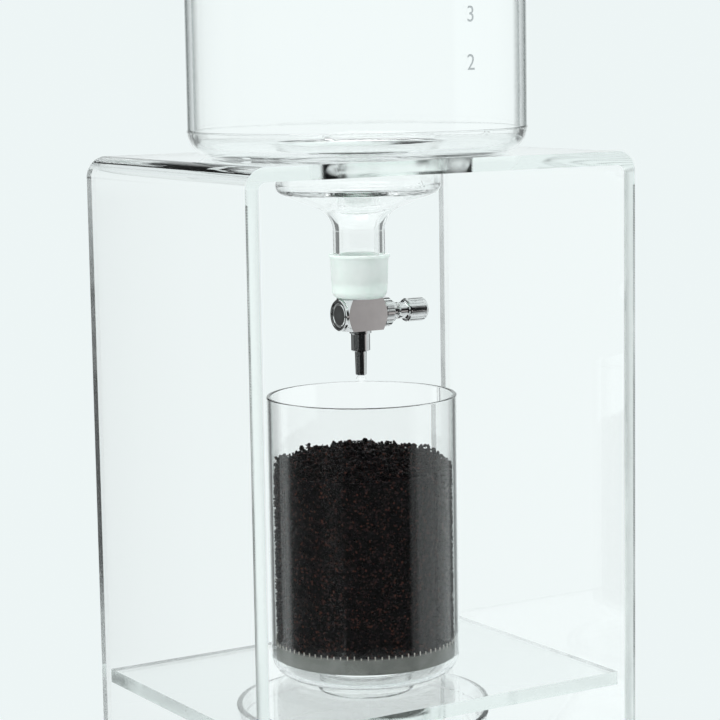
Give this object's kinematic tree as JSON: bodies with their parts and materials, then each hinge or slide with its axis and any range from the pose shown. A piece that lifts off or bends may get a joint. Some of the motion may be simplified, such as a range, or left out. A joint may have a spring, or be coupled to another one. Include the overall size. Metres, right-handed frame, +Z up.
{
  "type": "cold drip coffee tower",
  "caption": "Clear bent stand holding a glass water bowl with a needle drip tap over a glass coffee strainer and a glass server.",
  "frame": {"origin": "on the table, under the middle of the base plate and under the glass pieces' common axis", "axes": "+Z up, -Y towards the user and the open front, +X towards the tap's knob"},
  "size_m": [0.17, 0.173, 0.4471],
  "materials": {
    "acrylic": "clear cast acrylic, polished faces, satin sawn edges",
    "rubber_foot": "clear-grey soft rubber, satin",
    "bowl_glass": "clear heatproof glass, fire polished",
    "lid_clear": "clear moulded plastic, gloss",
    "lid_grip": "clear moulded plastic, gloss",
    "steel": "small stainless screws",
    "silicone": "milky translucent silicone, satin",
    "chrome": "polished chrome plate",
    "chrome_cap": "polished chrome plate, dished face",
    "seal_rubber": "black sealing ring",
    "seal_white": "white packing ring",
    "chrome_nut": "polished chrome plate, toothed",
    "spindle_steel": "turned stainless steel",
    "chrome_knob": "polished chrome plate, fluted",
    "chrome_nozzle": "polished chrome plate, turned",
    "chrome_tip": "polished chrome plate, turned",
    "strainer_glass": "clear heatproof glass, fire polished",
    "filter_grey": "warm grey silicone, matt",
    "filter_plate": "warm grey moulded plate, matt",
    "steel_mesh": "fine woven stainless mesh",
    "ground_coffee": "coarse dark ground coffee",
    "server_glass": "clear heatproof glass, fire polished"
  },
  "bodies": {
    "stand": {"stand_frame": "acrylic", "middle_shelf": "acrylic", "base_plate": "acrylic", "rubber_feet": "rubber_foot"},
    "bowl": {"water_bowl": "bowl_glass", "silicone_connector": "silicone", "tap_body": "chrome", "inlet_tail": "chrome", "tap_end_cap": "chrome_cap", "end_cap_seal": "seal_rubber", "gland_packing": "seal_white", "gland_nut": "chrome_nut", "nozzle_body": "chrome_nozzle", "nozzle_tip": "chrome_tip"},
    "lid": {"bowl_lid": "lid_clear", "lid_knob": "lid_grip", "lid_screw": "steel"},
    "needle": {"needle_spindle": "spindle_steel"},
    "knob": {"needle_knob": "chrome_knob", "knob_screw": "steel"},
    "strainer": {"strainer_glass": "strainer_glass", "filter_ring": "filter_grey", "filter_plate": "filter_plate", "filter_mesh": "steel_mesh", "coffee_bed": "ground_coffee"},
    "server": {"server_glass": "server_glass"}
  },
  "joints": [
    {"name": "bowl_lift", "type": "slide", "parent": "stand", "child": "bowl", "axis": [0, 0, 1], "range_m": [0, 0.09]},
    {"name": "lid_lift", "type": "slide", "parent": "bowl", "child": "lid", "axis": [0, 0, 1], "range_m": [0, 0.04]},
    {"name": "needle_travel", "type": "slide", "parent": "bowl", "child": "needle", "axis": [1, 0, 0], "range_m": [-0.00112, 0.00075]},
    {"name": "knob_turn", "type": "hinge", "parent": "needle", "child": "knob", "pos_m": [0.0194, 0, 0.2814], "axis": [1, 0, 0], "range_deg": [-540, 360]},
    {"name": "strainer_lift", "type": "slide", "parent": "stand", "child": "strainer", "axis": [0, 0, 1], "range_m": [0, 0.014]},
    {"name": "server_pull", "type": "slide", "parent": "stand", "child": "server", "axis": [0, -1, 0], "range_m": [0, 0.1]}
  ],
  "couplings": [
    {"joint": "knob_turn", "follows": "needle_travel", "rad_per_m": 8377.6}
  ]
}
